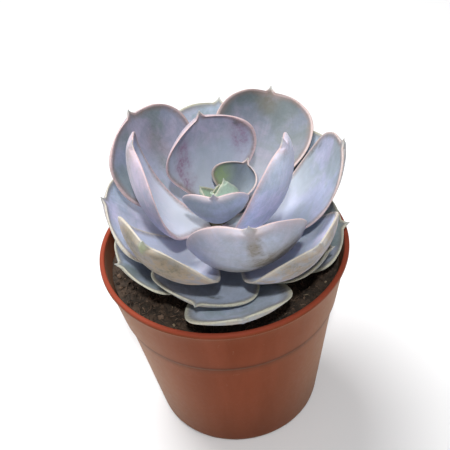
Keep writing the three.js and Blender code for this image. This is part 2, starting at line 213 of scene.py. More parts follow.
# Marks, by number of the leaf: kind, face (1 upper, 0 lower), place along, place across,
# half length and half width in millimetres, strength
MARKS = {
    # The bare green patch on leaf_00 is partly thin bloom and partly painted light glowing through the young
    # leaf.
    0: (("bare", 1, 0.45, 0.80, 9, 5, 1.0),),
    2: (
        ("stain", 1, 0.51, 0.54, 7, 4.5, 1.0),
        ("stain", 1, 0.66, 0.50, 6, 3.5, 0.8),
        ("stain", 1, 0.34, 0.62, 5, 4.0, 0.9),
        ("stain", 1, 0.66, -0.72, 8, 3.5, 0.9),
        ("scar", 1, 0.80, -0.80, 1.6, 1.0, 0.9),
    ),
    3: (("stain", 0, 0.97, 0.0, 5, 6, 0.45), ("stain", 1, 0.97, 0.0, 5, 6, 0.45)),
    4: (("rub", 0, 0.88, 0.1, 6, 5, 0.45), ("stain", 1, 0.9, 0.6, 8, 3, 0.5)),
    5: (("rub", 1, 0.9, 0.05, 7, 5, 0.5), ("scar", 1, 0.5, 0.3, 0.8, 0.6, 0.5)),
    6: (
        ("rub", 0, 0.68, 0.34, 8, 11, 0.95),
        ("rub", 0, 0.52, 0.05, 9, 18, 0.65),
        ("rub", 0, 0.86, 0.05, 9, 2.0, 1.0),
    ),
    7: (("rub", 1, 0.6, -0.2, 10, 5, 0.4), ("scar", 1, 0.78, -0.3, 1.0, 0.7, 0.5)),
    8: (("scar", 1, 0.66, 0.90, 5, 0.9, 0.9), ("scar", 1, 0.74, 0.8, 2, 0.8, 0.7)),
    9: (
        ("rub", 0, 0.83, 0.40, 10, 9, 1.0),
        ("rub", 0, 0.88, -0.40, 9, 6, 0.9),
        ("rub", 0, 0.80, 0.05, 15, 15, 0.75),
        ("bare", 0, 0.98, 0.0, 4.0, 1.3, 1.0),
    ),
    11: (("rub", 0, 0.88, -0.5, 9, 7, 0.6), ("rub", 0, 0.84, 0.3, 9, 7, 0.35)),
    14: (("scar", 1, 0.79, 0.28, 0.8, 2.6, 1.0), ("scar", 1, 0.76, 0.4, 0.6, 1.2, 0.6)),
    19: (("scar", 1, 0.7, 0.1, 0.7, 1.6, 0.6),),
}
MARK_KINDS = ("stain", "rub", "scar", "bare")

# Faint lines along the blade
LINES_ACROSS = 16
LINES_ALONG = 1.6
LINES_STEP = 3.7

# Looks, by number of the leaf: share of lilac flush, of thin green bloom, of beige underside and
# of pink in the margin, then how light the upper and lower faces are, partly their own tone and
# partly painted light and shade, and how white the foot is, partly thick bloom and partly painted light
LOOKS = {
    0: (0.1, 0.4, 0.0, 0.7, 0.55, 1.0, 0.3),
    1: (0.0, 0.6, 0.0, 0.9, 1.0, 1.05, 1.0),
    2: (0.6, 0.3, 0.1, 1.0, 1.0, 1.0, 0.8),
    3: (0.4, 0.3, 0.0, 1.0, 1.2, 1.9, 1.0),
    4: (1.0, 0.1, 0.0, 1.0, 1.9, 1.3, 1.0),
    5: (0.7, 0.8, 0.1, 0.8, 0.5, 0.9, 0.33),
    6: (0.25, 0.1, 0.1, 0.9, 1.2, 1.08, 1.0),
    7: (0.6, 0.8, 0.1, 0.9, 0.92, 1.0, 0.25),
    8: (0.3, 0.7, 0.1, 0.7, 1.15, 1.0, 0.8),
    9: (0.8, 0.4, 1.0, 0.25, 1.3, 0.72, 0.8),
    10: (0.4, 0.8, 0.3, 0.0, 0.9, 1.0, 0.8),
    11: (0.6, 0.3, 0.8, 0.3, 1.95, 1.0, 1.0),
    12: (0.5, 0.3, 0.3, 0.2, 1.45, 1.0, 0.8),
    14: (0.0, 0.1, 0.6, 0.0, 1.15, 0.95, 0.5),
    19: (0.2, 0.5, 0.6, 0.0, 1.5, 0.95, 0.4),
}
OLD_LOOK = (0.1, 0.9, 0.7, 0.0, 1.0, 0.9, 0.4)
HEART_NUMBER = 30
HEART_MARGIN = 0.5
HEART_LOOK = (0.0, 0.0, 0.0, 0.0, 1.0, 1.0, 0.4)
WIDER_MARGINS = {19: 2.0, 16: 1.6, 4: 1.4, 6: 1.3}
OLD_LEAVES = (12, *range(14, 22))

# Colours of marks, dust, painted reflection and painted shade
STAIN_PURPLE = (0.270, 0.115, 0.215)
RUB_BROWN = (0.215, 0.165, 0.095)
RUB_OLIVE = (0.090, 0.085, 0.050)
BARE_AND_GLOW_GREEN = (0.330, 0.440, 0.190)
SCAR_GREY = (0.085, 0.090, 0.075)
DUST_BEIGE = (0.42, 0.27, 0.20)
PAINTED_SHEEN_BEIGE = (0.45, 0.26, 0.165)
SHADE_BROWN = (0.085, 0.024, 0.010)
STEM_BARK = (0.215, 0.190, 0.105)
STEM_DARK = (0.120, 0.090, 0.055)

# How fine each texture is, in grains a metre
CLOUDS = 42
PATCHES = 75
MOTTLE = 190
SPECKLE = 620
POWDER = 2400
WOBBLE = 90
BLOTCHES = 210
BELLY_MOTTLE = 240
DENTS = 260
DOTS = 900
STREAKS = 85
DUST = 420
PLASTIC_GRAIN = 1500
CLODS = 160
CRUMB = 900
FIBRE_PATCHES = 400
FIBRE_GRAIN = 2400
FLOOR_CLOUDS = 2.5

# Picture and lights: azimuth and elevation of each light, and its width in metres
IMAGE_SIZE = 450
FOCAL_PIXELS = 824
PLANT_PIXEL = (223.3, 241.9)
PLANT_MIDDLE = Vector((0, 0, 0.0898))
SENSOR_WIDTH = 36
KEY_PLACE = (-88, 57)
KEY_WIDTH = 0.06
KEY_COLOUR = (0.98, 0.99, 1.0)
BACK_PLACE = (128, 68)
BACK_WIDTH = 0.6
BACK_COLOUR = (1.0, 0.99, 0.99)
SURROUND_COLOUR = (0.97, 0.985, 1.0, 1)
FLOOR_REACH = 3


def tint(name, description, default):
    return bpy.props.FloatVectorProperty(
        name=name, description=description, default=default, subtype="COLOR", size=3, min=0, max=1
    )


def amount(name, description, default, least, most, **kind):
    return bpy.props.FloatProperty(
        name=name, description=description, default=default, min=least, max=most, **kind
    )


def how_many(name, description, default, least, most):
    return bpy.props.IntProperty(name=name, description=description, default=default, min=least, max=most)


class PotSettings(bpy.types.PropertyGroup):
    sides: how_many("Sides", "Steps round the pot", 240, 48, 512)
    plastic: tint("Plastic", "Colour of the moulded wall", (0.186, 0.040, 0.013))
    lip: tint("Lip", "Colour of the thin lip, where light comes through", (0.290, 0.058, 0.030))
    roughness: amount("Roughness", "How dull the plastic is", 0.5, 0, 1, subtype="FACTOR")


class SoilSettings(bpy.types.PropertyGroup):
    peat: tint("Peat", "Colour of the wet peat", (0.036, 0.027, 0.020))
    dry: tint("Dry peat", "Colour of the dry crumbs", (0.135, 0.085, 0.055))
    pale: tint("Pale bits", "Colour of straw and grit", (0.34, 0.27, 0.17))
    crumbs: how_many("Crumbs", "How many crumbs lie on the soil", 1500, 0, 2200)
    fibres: how_many("Fibres", "How many peat fibres lie on the soil", 420, 0, 900)
    seed: how_many("Seed", "Another seed gives other crumbs", 7, 0, 9999)


class LeafSettings(bpy.types.PropertyGroup):
    bloom: tint("Bloom", "Colour of the waxy bloom", (0.345, 0.395, 0.500))
    lilac: tint("Lilac bloom", "Colour of the bloom where it flushes lilac", (0.440, 0.398, 0.522))
    green: tint("Green", "Leaf colour where the bloom is thin", (0.240, 0.300, 0.305))
    # The pale foot is partly thick bloom and partly painted light that lifts the shaded hollow near the stem.
    foot: tint("Foot", "Colour of the thick bloom near the stem", (0.640, 0.675, 0.760))
    under: tint("Underside", "Beige cast of the older undersides", (0.400, 0.290, 0.205))
    pink: tint("Pink margin", "Margin of the young leaves", (0.665, 0.490, 0.500))
    rust: tint("Rust line", "Rust-brown line inside the pink margin", (0.270, 0.165, 0.135))
    tip: tint("Tip", "Pale dry point at the end of each leaf", (0.560, 0.570, 0.530))
    cream: tint("Cream margin", "Margin of the old leaves", (0.650, 0.635, 0.490))
    dull: tint("Dull line", "Brown-grey line inside the margin", (0.235, 0.215, 0.190))
    heart: tint("Heart", "Colour of the youngest leaves", (0.520, 0.690, 0.520))
    margin_width: amount("Margin width", "Width of the pale margin in millimetres", 0.62, 0.1, 4)
    undulation: amount("Undulation", "Height of the soft waves in the blade, in millimetres", 0.26, 0, 0.3)


class StageSettings(bpy.types.PropertyGroup):
    floor: tint("Floor", "Colour of the floor", (0.90, 0.90, 0.90))
    surround: amount("Surround", "Strength of the white surround", 0.22, 0, 5)
    key: amount("Key", "Power of the light in front, in watts", 5.4, 0, 200)
    rim: amount("Rim", "Power of the soft light behind, in watts", 10.5, 0, 200)
    elevation: amount(
        "Elevation", "Height of the camera above the horizon", math.radians(42.1), -1.5, 1.5,
        subtype="ANGLE", unit="ROTATION",
    )
    roll: amount(
        "Roll", "Tilt of the picture", math.radians(6.64), -3.2, 3.2, subtype="ANGLE", unit="ROTATION"
    )
    distance: amount(
        "Distance", "From the camera to the middle of the plant", 0.3465, 0.1, 10,
        subtype="DISTANCE", unit="LENGTH",
    )


def clamp01(x):
    return np.clip(x, 0, 1)


def mix(a, b, t):
    return a + (b - a) * t


def smoothstep(low, high, x):
    t = clamp01((x - low) / (high - low))
    return t * t * (3 - 2 * t)


def curve_through(stops, x):
    """Smooth curve through (at, value) stops that doesn't swing past them."""
    at, value = (np.array(column, float) for column in zip(*stops))
    step = np.diff(at)
    slope = np.diff(value) / step
    same_way = slope[:-1] * slope[1:] > 0
    both = np.where(same_way, slope[:-1] + slope[1:], 1)
    inner = np.where(same_way, 2 * slope[:-1] * slope[1:] / both, 0)
    tangent = np.concatenate([slope[:1], inner, slope[-1:]])
    x = np.clip(x, at[0], at[-1])
    k = np.clip(np.searchsorted(at, x, side="right") - 1, 0, len(step) - 1)
    t = (x - at[k]) / step[k]
    held = value[k] * (1 + 2 * t) * (1 - t) ** 2 + value[k + 1] * t * t * (3 - 2 * t)
    return held + step[k] * (tangent[k] * t * (1 - t) ** 2 - tangent[k + 1] * t * t * (1 - t))


def soft_waves(points, wavelength, seed, count=9):
    """A smooth field of about -1 to 1 over points, from plane waves in random directions."""
    draw = np.random.default_rng(seed)
    total = np.zeros(points.shape[:-1])
    for _ in range(count):
        direction = draw.normal(size=3)
        direction *= 2 * math.pi / (np.linalg.norm(direction) * wavelength * draw.uniform(0.75, 1.6))
        total += np.sin(points @ direction + draw.uniform(0, 2 * math.pi))
    return total / math.sqrt(count)


# Mesh making

def link_object(name, data):
    made = bpy.data.objects.new(name, data)
    bpy.context.scene.collection.objects.link(made)
    return made


def set_fields(mesh, fields):
    """Gives each point of the mesh its values, which the materials read by name."""
    for name, values in fields.items():
        field = mesh.attributes.new(name, "FLOAT", "POINT")
        field.data.foreach_set("value", np.asarray(values, np.float32).ravel())


def make_object(name, points, faces, material, slot, fields=None, smooth=True):
    """A mesh object from points in millimetres, with point fields for its material."""
    mesh = bpy.data.meshes.new(name)
    mesh.from_pydata((np.asarray(points) * MM).tolist(), [], faces)
    set_fields(mesh, fields or {})
    mesh.polygons.foreach_set("use_smooth", [smooth] * len(mesh.polygons))
    mesh.materials.append(material)
    mesh.validate()
    mesh.update()
    piece = link_object(name, mesh)
    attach(piece, BODY)
    return piece


def combine(piece, other, operation, solver):
    """Joins the other object to the piece or cuts it out, and then removes it."""
    change = piece.modifiers.new("combine", "BOOLEAN")
    change.operation = operation
    change.object = other
    change.solver = solver
    graph = bpy.context.evaluated_depsgraph_get()
    mesh = bpy.data.meshes.new_from_object(piece.evaluated_get(graph))
    old = piece.data
    piece.modifiers.clear()
    piece.data = mesh
    mesh.name = old.name
    bpy.data.meshes.remove(old)
    bpy.data.objects.remove(other)


def add_to(heap, points, faces):
    """Adds points and faces to a heap of (points, faces)."""
    first = len(heap[0])
    heap[0].extend(points)
    heap[1].extend(tuple(c + first for c in face) for face in faces)


def skin_faces(rows, columns):
    """Quads between rings of points, outwards for rings that run clockwise."""
    faces = []
    for first in range(0, (rows - 1) * columns, columns):
        for i in range(columns):
            a, b = first + i, first + (i + 1) % columns
            faces.append((a, a + columns, b + columns, b))
    return faces


def fan(ring, hub):
    """Triangles from a ring of points to its hub."""
    return [(a, b, hub) for a, b in zip(ring, (*ring[1:], ring[0]))]


def turned(profile, sides):
    """Points and faces of a profile of (radius, height), from axis to axis, turned about the axis."""
    points, faces, rings = [], [], []
    for radius, z in profile:
        if radius < 1e-6:
            rings.append([len(points)] * sides)
            points.append((0, 0, z))
            continue
        rings.append(list(range(len(points), len(points) + sides)))
        for i in range(sides):
            azimuth = 2 * math.pi * i / sides
            points.append((radius * math.cos(azimuth), radius * math.sin(azimuth), z))
    for low, high in zip(rings, rings[1:]):
        for i in range(sides):
            j = (i + 1) % sides
            corners = [low[i], low[j], high[j], high[i]]
            face = [c for k, c in enumerate(corners) if c != corners[k - 1]]
            if len(face) > 2:
                faces.append(tuple(face))
    return points, faces


def eased(profile, share=0.42, steps=5):
    """A profile with each corner eased into a short curve."""
    points = [Vector(p) for p in profile]
    out = [points[0]]
    for before, corner, after in zip(points, points[1:], points[2:]):
        start, end = corner.lerp(before, share), corner.lerp(after, share)
        for i in range(steps + 1):
            t = i / steps
            out.append(start.lerp(corner, t).lerp(corner.lerp(end, t), t))
    out.append(points[-1])
    return [tuple(p) for p in out]


# Leaf form

def leaf_on_spiral(traits, number, outline=None):
    leaf = {"widest": WIDEST_AT, "bluntness": TIP_BLUNTNESS, "taper": TIP_TAPER}
    leaf.update(zip(LEAF_TRAITS, traits))
    leaf.update(outline or {})
    leaf["mucro"] = min(MUCRO_LENGTH, MUCRO_LENGTH_SHARE * leaf["length"])
    leaf["azimuth"] = FIRST_LEAF_AZIMUTH - GOLDEN_ANGLE * number + leaf["turn"]
    leaf["z"] = FIRST_LEAF_Z - LEAF_PITCH * number
    leaf["seat"] = 0
    return leaf


def stem_radius(z):
    return np.interp(
        z, [STEM_SHOULDER_Z, STEM_NECK_Z, STEM_TOP_Z], [STEM_RADIUS, STEM_NECK_RADIUS, STEM_TOP_RADIUS]
    )


def half_width(leaf, s):
    """Leaf outline: a spoon, narrow at the foot, with a blunt tip drawn out into a hollow-sided point."""
    t = clamp01(s / (1 - leaf["mucro"] / leaf["length"]))
    widest = leaf["widest"]
    swell = mix(FOOT_SHARE, 1, np.sin(math.pi / 2 * np.minimum(1, t / widest)) ** FOOT_SWELL)
    fall = clamp01((t - widest) / (1 - widest))
    share = np.where(t < widest, swell, np.maximum(0, 1 - fall ** leaf["bluntness"]) ** leaf["taper"])
    to_tip = (1 - s) * leaf["length"] / leaf["mucro"]
    flare = MUCRO_POINT + MUCRO_FLARE_SHARE * leaf["width"] * to_tip**MUCRO_HOLLOW
    return np.hypot(leaf["width"] / 2 * share, flare * smoothstep(2.4, 1, to_tip))


def belly_thickness(leaf, s):
    body = 1 - leaf["mucro"] / leaf["length"]
    rule = (
        (0, FOOT_THICKNESS),
        (0.12, mix(FOOT_THICKNESS, BELLY_THICKNESS, 0.35)),
        (BELLY_AT, BELLY_THICKNESS),
        (WIDEST_AT, BELLY_THICKNESS * 0.92),
        (0.86, mix(TIP_THICKNESS, BELLY_THICKNESS, 0.45)),
        (body, TIP_THICKNESS),
        (1, MUCRO_THICKNESS),
    )
    size = (leaf["length"] / GROWN_LENGTH) ** THICKNESS_GROWTH
    return np.maximum(MUCRO_THICKNESS, curve_through(rule, s) * size)


def swung(a, b, angle):
    """Direction a, turned towards b by an angle."""
    return a * np.cos(angle)[..., None] + b * np.sin(angle)[..., None]


def leaf_frame(leaf, s):
    """Directions along, across and out of the upper face at shares s of the length."""
    t = np.minimum(1, s / BEND_REACH)
    slope = np.radians(leaf["rise"] + leaf["curl"] * t * (2 - t))
    heading = np.radians(leaf["sway"] * s)
    along = np.stack([np.cos(slope) * np.cos(heading), np.cos(slope) * np.sin(heading), np.sin(slope)], -1)
    level = np.stack([-np.sin(heading), np.cos(heading), 0 * heading], -1)
    upward = np.cross(along, level)
    twist = np.radians(leaf["roll"] * s)
    return along, swung(level, upward, twist), swung(upward, -level, twist)


def midrib(leaf, s, steps=40):
    points = np.zeros((len(s), 3))
    for i in range(steps):
        points += leaf_frame(leaf, (i + 0.5) * s / steps)[0]
    return points * (leaf["length"] * s / steps)[:, None] + (leaf["seat"], 0, leaf["z"])


def ring_columns():
    """Across, turn over the margin and face for each column of a leaf's cross-section."""
    upper = np.linspace(-1, 1, UPPER_COLUMNS)
    lower = np.linspace(1, -1, LOWER_COLUMNS)
    over = np.linspace(0, math.pi, MARGIN_COLUMNS + 2)[1:-1]
    across = np.concatenate([upper, np.ones(MARGIN_COLUMNS), lower, -np.ones(MARGIN_COLUMNS)])
    turn = np.concatenate([0 * upper, over, 0 * lower + math.pi, over[::-1]])
    return across, turn


def leaf_stations(leaf):
    """Places of the cross-sections, close together round the tip, and how round the point is there."""
    body = 1 - leaf["mucro"] / leaf["length"]
    end = 1 - POINT_ROUNDING / leaf["length"]
    blade = WIDEST_AT * body * np.linspace(0, 1, FOOT_ROWS) ** 1.1
    tip = body * mix(WIDEST_AT, 1, np.sin(np.linspace(0, math.pi / 2, TIP_ROWS + 1)[1:]))
    mucro = np.linspace(body, end, MUCRO_ROWS + 1)[1:]
    rounding = np.array(POINT_STATIONS)
    stations = np.concatenate([blade, tip, mucro, mix(end, 1, rounding)])
    roundness = np.concatenate([np.ones(FOOT_ROWS + TIP_ROWS + MUCRO_ROWS), np.sqrt(1 - rounding**2)])
    return stations, roundness


def leaf_points(leaf, s, roundness, across, turn):
    """Points of the leaf's skin and the directions out of it, before the leaf is turned to its azimuth."""
    side_axis, normal = (axis[:, None] for axis in leaf_frame(leaf, s)[1:])
    half = (half_width(leaf, s) * roundness)[:, None]
    cup = np.radians(leaf["cup"] * mix(FOOT_FLATNESS, 1, smoothstep(0, 0.3, s)))[:, None]
    belly = np.minimum((belly_thickness(leaf, s) * roundness)[:, None], POINT_THICKNESS + 2 * half)
    edge = np.minimum(MARGIN_THICKNESS * roundness[:, None], belly)
    u = across[None, :]
    bend = cup * u
    out, side = swung(normal, -side_axis, bend), swung(side_axis, normal, bend)
    face = midrib(leaf, s)[:, None] + side_axis * (half / cup * np.sin(bend))[..., None]
    face = face + normal * (half / cup * (1 - np.cos(bend)))[..., None]
    depth = (edge + (belly - edge) * (1 - u * u)) * (1 - np.cos(turn)) / 2
    bulge = np.sign(u) * np.minimum(MARGIN_BULGE, half / 3) * np.sin(turn)
    droop = (1 - roundness)[:, None] * belly_thickness(leaf, s)[:, None] / 2
    points = face - out * (depth + droop)[..., None] + side * bulge[..., None]
    return points, swung(out, side * np.sign(u)[..., None], turn[None, :])


def seat_beside_stem(leaf):
    """Distance from the axis at which the whole foot of the leaf stands clear of the stem."""
    across, turn = ring_columns()
    foot, _ = leaf_points(leaf, np.zeros(1), np.ones(1), across, turn)
    return float((stem_radius(foot[..., 2]) + LEAF_SEAT_GAP - foot[..., 0]).max())


def edge_distance(leaf, s, across):
    """Distance to the outline over the laid-out blade, in millimetres."""
    at = 1 - np.linspace(0.99, 0, OUTLINE_SAMPLES) ** 2
    reach, height = half_width(leaf, at), at * leaf["length"]
    run = np.concatenate([[0], np.cumsum(np.hypot(np.diff(reach), np.diff(height)))])
    even = np.linspace(0, run[-1], OUTLINE_POINTS)
    reach, height = np.interp(even, run, reach), np.interp(even, run, height)
    x = half_width(leaf, s)[:, None] * np.abs(across)[None, :]
    y = np.broadcast_to((s * leaf["length"])[:, None], x.shape)
    return np.hypot(x[..., None] - reach, y[..., None] - height).min(-1)


def leaf_relief(leaf, points, s, across, turn, edge, undulation, seed):
    """Height of the living leaf's soft waves, rim and keel above the smooth blade."""
    grown = smoothstep(0.2, 0.5, s)[:, None] * min(1, leaf["length"] / GROWN_LENGTH)
    upper = (1 + np.cos(turn)) / 2
    waves = undulation * soft_waves(points, WAVE_LENGTH, seed) * WAVE_SHARE
    point = smoothstep(1.0, 1.8, (1 - s) * leaf["length"] / leaf["mucro"])[:, None]
    rim = RIM_HEIGHT * np.exp(-((edge - RIM_PLACE) / RIM_SPREAD) ** 2) * upper
    keel = KEEL_HEIGHT * np.exp(-((across / KEEL_SPREAD) ** 2)) * (1 - upper)
    keel = keel * smoothstep(0.7, 0.9, s)[:, None]
    return (waves + rim + keel) * grown * point


def mark_fields(number, leaf, s, across, turn):
    """Strength of each kind of mark over the leaf's skin."""
    fields = {kind: np.zeros((len(s), len(across))) for kind in MARK_KINDS}
    upper = (1 + np.cos(turn)) / 2
    x = half_width(leaf, s)[:, None] * across[None, :]
    y = (s * leaf["length"])[:, None]
    for kind, face, at, place, half_length, half_wide, strength in MARKS.get(number, ()):
        centre_x = place * half_width(leaf, np.array([at]))[0]
        spread = ((x - centre_x) / half_wide) ** 2 + ((y - at * leaf["length"]) / half_length) ** 2
        side = upper if face else 1 - upper
        fields[kind] = np.maximum(fields[kind], strength * np.exp(-(spread**1.5)) * side[None, :])
    return fields


def leaf_mesh(number, leaf, undulation, seed):
    """Points, faces and point fields of one leaf."""
    across, turn = ring_columns()
    s, roundness = leaf_stations(leaf)
    points, outward = leaf_points(leaf, s, roundness, across, turn)
    edge = edge_distance(leaf, s, across)
    relief = leaf_relief(leaf, points, s, across, turn, edge, undulation, seed)
    points = points + outward * relief[..., None]
    rows, columns = edge.shape
    fields = mark_fields(number, leaf, s, across, turn)
    fields["edge"] = edge
    fields["along"] = np.repeat(s, columns).reshape(edge.shape)
    fields["across"] = np.tile(across, (rows, 1))
    fields["upper"] = np.tile((1 + np.cos(turn)) / 2, (rows, 1))
    foot_hub = points[0].mean(0)
    tip_hub = midrib(leaf, np.ones(1))[0] - outward[-1, UPPER_COLUMNS // 2] * TIP_HUB_DEPTH
    flat = np.concatenate([points.reshape(-1, 3), [foot_hub, tip_hub]])
    fields = {key: np.concatenate([v.ravel(), v[[0, -1]].mean(1)]) for key, v in fields.items()}
    rings = np.arange(rows * columns).reshape(edge.shape).tolist()
    hub = rows * columns
    faces = skin_faces(rows, columns) + fan(rings[0], hub) + fan(rings[-1][::-1], hub + 1)
    turn_z = np.array(Matrix.Rotation(math.radians(leaf["azimuth"]), 3, "Z"))
    return flat @ turn_z.T, faces, fields


# Node making

class Nodes:
    """Adds nodes to a shader tree. An input goes by its name, or by its place as in n0."""

    def __init__(self, tree):
        self.tree = tree

    def fill(self, node, **inputs):
        for key, value in inputs.items():
            place = key.removeprefix("n")
            socket = node.inputs[int(place) if place.isdigit() else key.replace("_", " ")]
            if isinstance(value, bpy.types.NodeSocket):
                self.tree.links.new(value, socket)
            else:
                socket.default_value = (*value, 1) if socket.type == "RGBA" else value
        return node.outputs

    def add(self, kind, settings=None, **inputs):
        node = self.tree.nodes.new(f"ShaderNode{kind}")
        for key, value in (settings or {}).items():
            setattr(node, key, value)
        return self.fill(node, **inputs)

    def shared(self, name, **inputs):
        """A shared node group, made when it is first placed."""
        group = bpy.data.node_groups.get(name) or SHARED_GROUPS[name](name)
        return self.add("Group", {"node_tree": group}, **inputs)

    def field(self, name):
        return self.add("Attribute", {"attribute_name": name})["Fac"]

    def noise(self, position, scale, detail, roughness, distortion=0.0):
        given = {"Vector": position, "Scale": scale, "Detail": detail, "Roughness": roughness}
        return self.add("TexNoise", **given, Distortion=distortion)["Fac"]

    def ramp(self, value, low, high, to_low=0.0, to_high=1.0):
        return self.add(
            "MapRange", {"interpolation_type": "SMOOTHSTEP"}, n0=value, n1=low, n2=high, n3=to_low, n4=to_high
        )[0]

    def math(self, operation, a, b, clamp=False):
        return self.add("Math", {"operation": operation, "use_clamp": clamp}, n0=a, n1=b)[0]

    def times(self, value, *others, clamp=False):
        for other in others:
            value = self.math("MULTIPLY", value, other, clamp)
        return value

    def mix(self, share, a, b, blend="MIX"):
        return self.add("Mix", {"data_type": "RGBA", "blend_type": blend}, n0=share, n6=a, n7=b)[2]

    def layered(self, colour, *layers):
        """The colour with layers of (share, colour) laid over it in turn."""
        for share, layer in layers:
            colour = self.mix(share, colour, layer)
        return colour

    def dimmed(self, colour, value):
        grey = self.add("CombineColor", Red=value, Green=value, Blue=value)[0]
        return self.mix(1.0, colour, grey, "MULTIPLY")

    def bump(self, height, strength, distance):
        return self.add("Bump", Strength=strength, Distance=distance, Height=height)["Normal"]


def new_material(name):
    material = bpy.data.materials.new(name)
    material.use_nodes = True
    make = Nodes(material.node_tree)
    return material, make, make.tree.nodes["Principled BSDF"], make.add("TexCoord")["Object"]


def new_group(name, inputs, outputs):
    """An empty node group whose sockets are given as kind: names."""
    tree = bpy.data.node_groups.new(name, "ShaderNodeTree")
    for side, sockets in (("INPUT", inputs), ("OUTPUT", outputs)):
        for kind, names in sockets.items():
            for socket in names.split():
                tree.interface.new_socket(name=socket, in_out=side, socket_type=f"NodeSocket{kind}")
    return Nodes(tree), tree.nodes.new("NodeGroupInput").outputs, tree.nodes.new("NodeGroupOutput")


def bloom_group(name):
    """Waxy bloom: powdery colour that drifts between tints, with lines along the leaf and a fine grain."""
    make, given, out = new_group(
        name,
        {"Vector": "Position Lengthwise", "Color": "Bloom Lilac Green", "Float": "Flush Wear"},
        {"Color": "Colour", "Float": "Thin Grain"},
    )
    place = given["Position"]
    clouds = make.noise(place, CLOUDS, 2, 0.5)
    patches = make.noise(place, PATCHES, 4, 0.55, 0.3)
    mottle = make.noise(place, MOTTLE, 4, 0.65, 0.5)
    speckle = make.noise(place, SPECKLE, 4, 0.7)
    grain = make.noise(place, POWDER, 3, 0.6)
    lines = make.noise(given["Lengthwise"], 1.0, 4, 0.6)
    drift = make.math("ADD", make.ramp(clouds, 0.40, 0.58), make.ramp(mottle, 0.36, 0.64, -0.45, 0.45))
    lilac = make.times(drift, given["Flush"], clamp=True)
    rubbed = make.times(make.ramp(patches, 0.42, 0.62), given["Wear"])
    flecks = make.times(make.ramp(speckle, 0.52, 0.70), make.ramp(lines, 0.3, 0.7, 0.08, 0.34))
    thin = make.math("ADD", rubbed, flecks, clamp=True)
    colour = make.layered(given["Bloom"], (lilac, given["Lilac"]), (thin, given["Green"]))
    powder = make.ramp(grain, 0.2, 0.8, 0.94, 1.06)
    for texture, low, high in ((lines, 0.95, 1.05), (mottle, 0.90, 1.08), (clouds, 1.06, 0.94)):
        powder = make.times(powder, make.ramp(texture, 0.3, 0.7, low, high))
    make.fill(out, Colour=make.dimmed(colour, powder), Thin=thin, Grain=grain)
    return make.tree


def margin_group(name):
    """Margin: a pale band along the outline, and a duller line that fades into the blade."""
    make, given, out = new_group(
        name,
        {"Vector": "Position", "Color": "Colour Band Line", "Float": "Edge Width Depth Upper"},
        {"Color": "Colour", "Float": "Band"},
    )
    grain = make.noise(given["Position"], DOTS, 3, 0.6)
    wobble = make.ramp(make.noise(given["Position"], WOBBLE, 1, 0.5), 0.3, 0.7, 0.85, 1.2)
    share = make.times(make.math("DIVIDE", given["Edge"], given["Width"]), wobble)
    near = make.times(
        make.ramp(share, 0.2, 1.8, 1.0, 0.0),
        make.ramp(grain, 0.3, 0.7, 0.72, 0.95),
        make.ramp(given["Upper"], 0.0, 0.35, 0.3, 1.0),
    )
    line = make.times(
        make.ramp(share, 0.9, 5.0, 1.0, 0.0),
        given["Depth"],
        make.ramp(grain, 0.25, 0.75, 0.6, 1.15),
        make.ramp(given["Upper"], 0.0, 0.35, 0.4, 1.0),
    )
    band = make.mix(make.times(make.ramp(grain, 0.48, 0.66), 0.4), given["Band"], given["Line"])
    colour = make.layered(given["Colour"], (line, given["Line"]), (near, band))
    make.fill(out, Colour=colour, Band=near)
    return make.tree


def marks_group(name):
    """Marks of age and handling: purple stain, rubbed patches, bare green and corky scars. The bare green
    also serves as painted light glowing through a young leaf.
    """
    make, given, out = new_group(
        name, {"Vector": "Position", "Color": "Colour", "Float": "Stain Rub Bare Scar"}, {"Color": "Colour"}
    )
    blotches = make.noise(given["Position"], BLOTCHES, 5, 0.7, 0.4)
    dots = make.noise(given["Position"], DOTS, 4, 0.7)

    def uneven(kind, texture, least, most):
        """Share of the mark's colour, thinned where the texture is low."""
        return make.times(given[kind], make.ramp(texture, 0.36, 0.64, least, 1.0), most, clamp=True)

    stain = make.times(uneven("Stain", blotches, 0.3, 1.0), make.ramp(dots, 0.36, 0.62, 0.45, 1.0))
    colour = make.layered(
        given["Colour"],
        (stain, STAIN_PURPLE),
        (uneven("Rub", blotches, 0.7, 0.95), RUB_BROWN),
        (make.times(uneven("Rub", dots, 0.3, 0.9), make.ramp(blotches, 0.42, 0.62)), RUB_OLIVE),
        (uneven("Bare", blotches, 0.6, 0.9), BARE_AND_GLOW_GREEN),
        (uneven("Scar", dots, 0.5, 1.0), SCAR_GREY),
    )
    make.fill(out, Colour=colour)
    return make.tree


SHARED_GROUPS = {"Waxy bloom": bloom_group, "Leaf margin": margin_group, "Leaf marks": marks_group}


def between(a, b, share):
    """The colour that lies this share of the way from one colour to another."""
    return tuple(mix(p, q, share) for p, q in zip(a, b))


